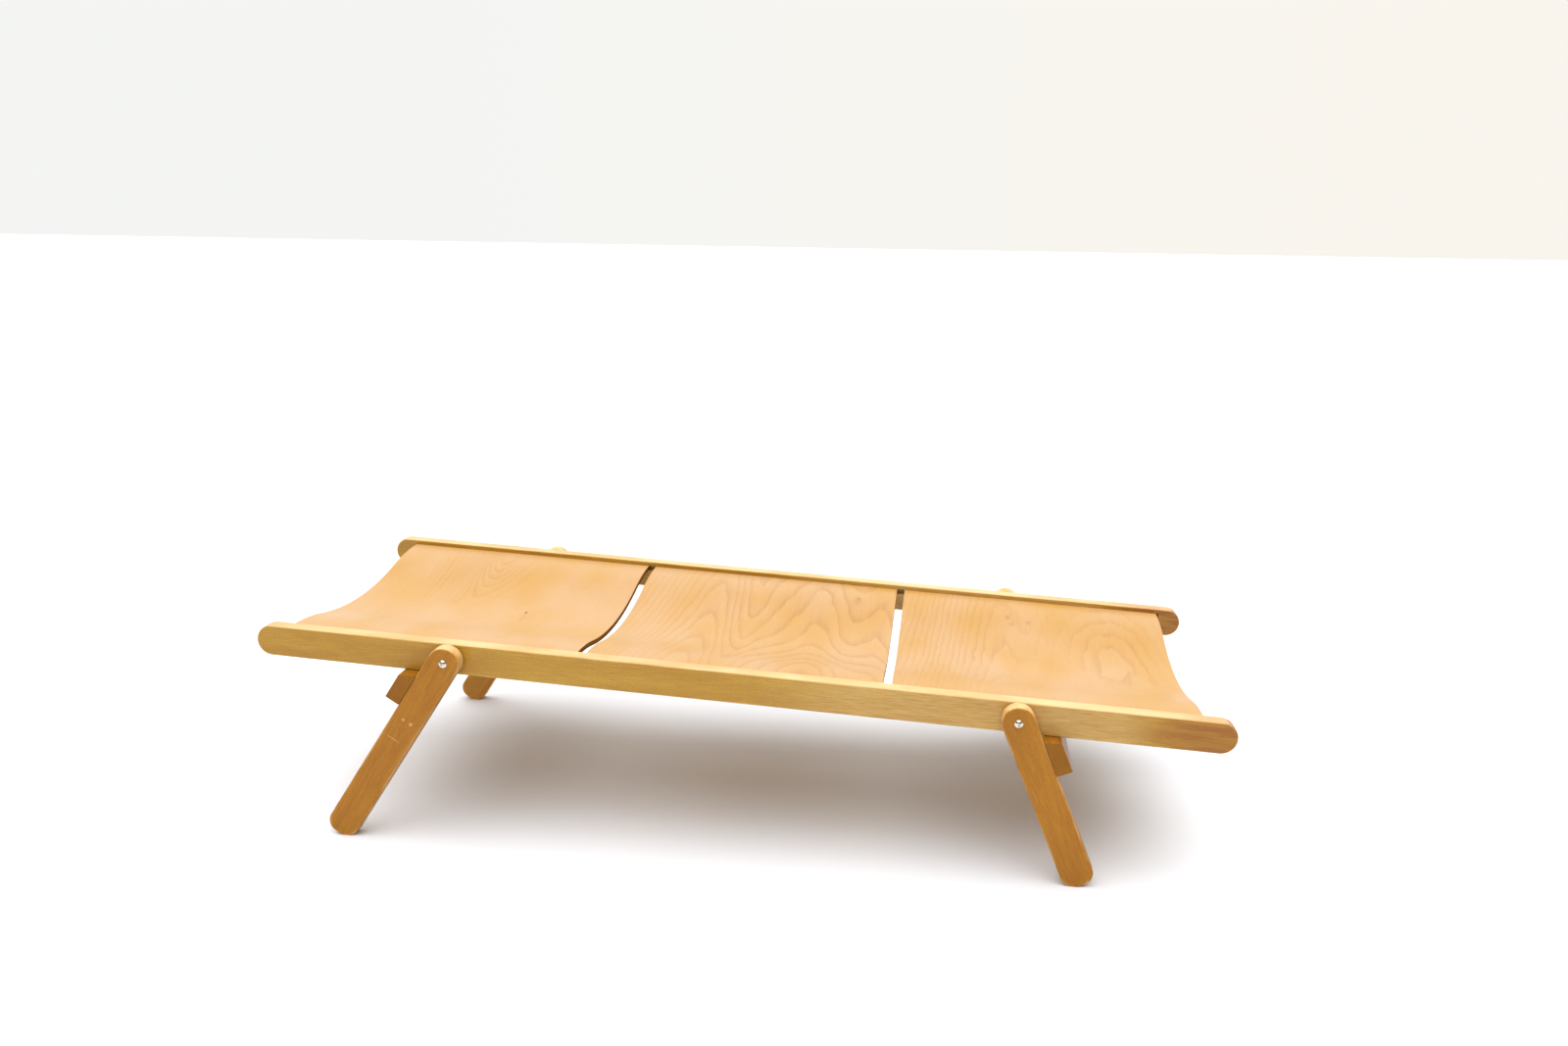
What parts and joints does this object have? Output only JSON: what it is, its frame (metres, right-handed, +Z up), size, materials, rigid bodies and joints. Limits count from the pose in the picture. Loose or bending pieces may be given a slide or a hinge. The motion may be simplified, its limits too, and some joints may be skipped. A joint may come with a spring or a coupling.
{
  "type": "folding daybed",
  "caption": "Low folding daybed of beech and plywood: hollowed panels between two side rails, on hinged splayed leg frames that fold in under the rails.",
  "frame": {"origin": "on the floor, under the middle of the bed", "axes": "+X from the high head end to the foot end, +Y across to the rear side, +Z up"},
  "size_m": [1.9976, 0.8416, 0.4481],
  "materials": {
    "rail_beech": "satin varnish",
    "panel_plywood": "satin varnish",
    "leg_beech": "satin varnish",
    "bar_beech": "satin varnish",
    "dowel_beech": "bare wood",
    "plated_steel": "bright zinc plate"
  },
  "bodies": {
    "bed": {"rail_front": "rail_beech", "rail_rear": "rail_beech", "panel_head": "panel_plywood", "panel_middle": "panel_plywood", "panel_foot": "panel_plywood", "pivot_bolts": "plated_steel", "pivot_spacers": "plated_steel", "pivot_washers": "plated_steel", "pivot_cap_nuts": "plated_steel"},
    "head_leg_frame": {"head_leg_front": "leg_beech", "head_leg_rear": "leg_beech", "head_cross_bar": "bar_beech", "head_dowels": "dowel_beech"},
    "foot_leg_frame": {"foot_leg_front": "leg_beech", "foot_leg_rear": "leg_beech", "foot_cross_bar": "bar_beech", "foot_dowels": "dowel_beech"}
  },
  "joints": [
    {"name": "head_leg_fold", "type": "hinge", "parent": "bed", "child": "head_leg_frame", "pos_m": [-0.58428, 0, 0.39659], "axis": [0, -1, 0], "range_deg": [0, 119.8]},
    {"name": "foot_leg_fold", "type": "hinge", "parent": "bed", "child": "foot_leg_frame", "pos_m": [0.57629, 0, 0.33881], "axis": [0, 1, 0], "range_deg": [0, 115.4]}
  ]
}
